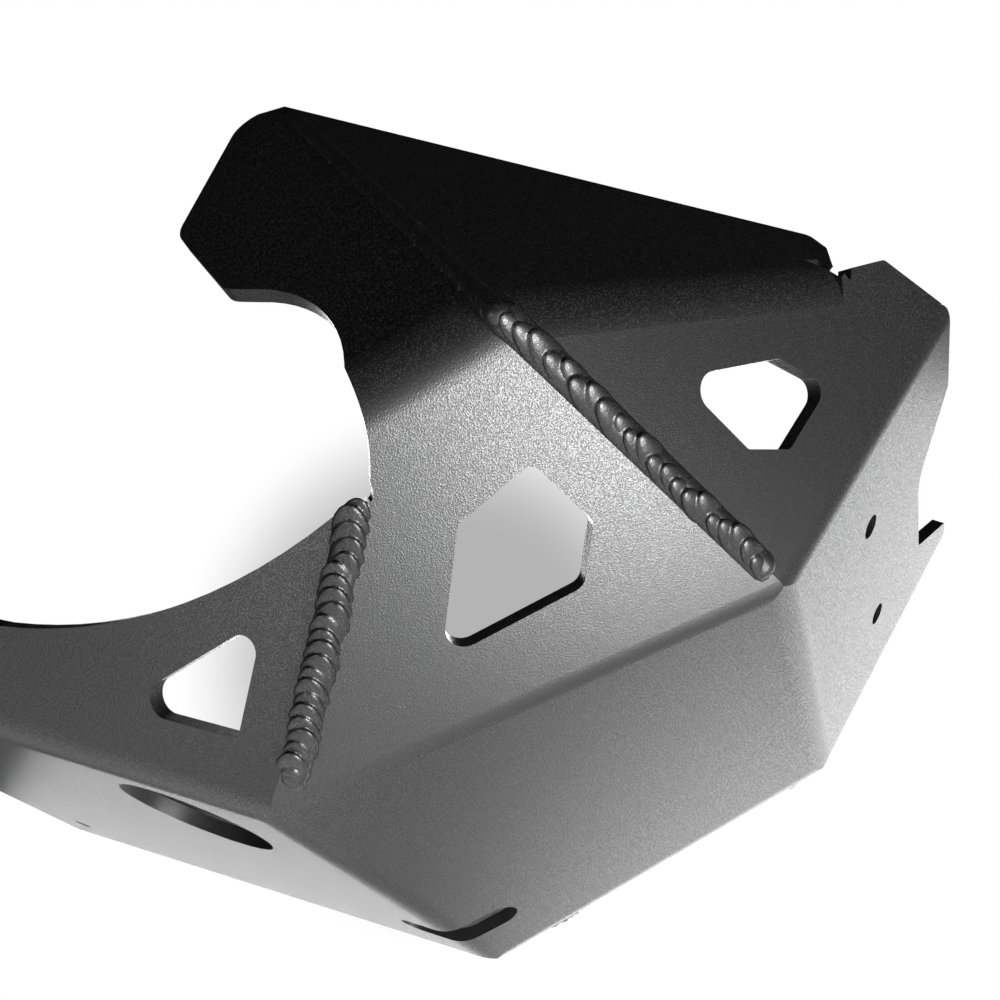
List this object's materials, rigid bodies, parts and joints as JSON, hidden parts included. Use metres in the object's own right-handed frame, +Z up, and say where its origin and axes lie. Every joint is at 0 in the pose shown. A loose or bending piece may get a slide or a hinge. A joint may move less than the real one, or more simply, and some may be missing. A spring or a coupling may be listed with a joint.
{
  "type": "motorcycle skid plate",
  "caption": "Folded and welded sheet skid plate: flat pan, rising slope and nose, holed side flanges and tall side wings, with drain openings and bolt holes.",
  "frame": {"origin": "midway between the rear bolt holes, on the outer face of the pan", "axes": "+X forward towards the nose, +Y to the vehicle's left, +Z up"},
  "size_m": [0.345, 0.2822, 0.1789],
  "materials": {
    "powder_coat": "matte"
  },
  "bodies": {
    "root": {"skid_plate": "powder_coat"}
  },
  "joints": []
}
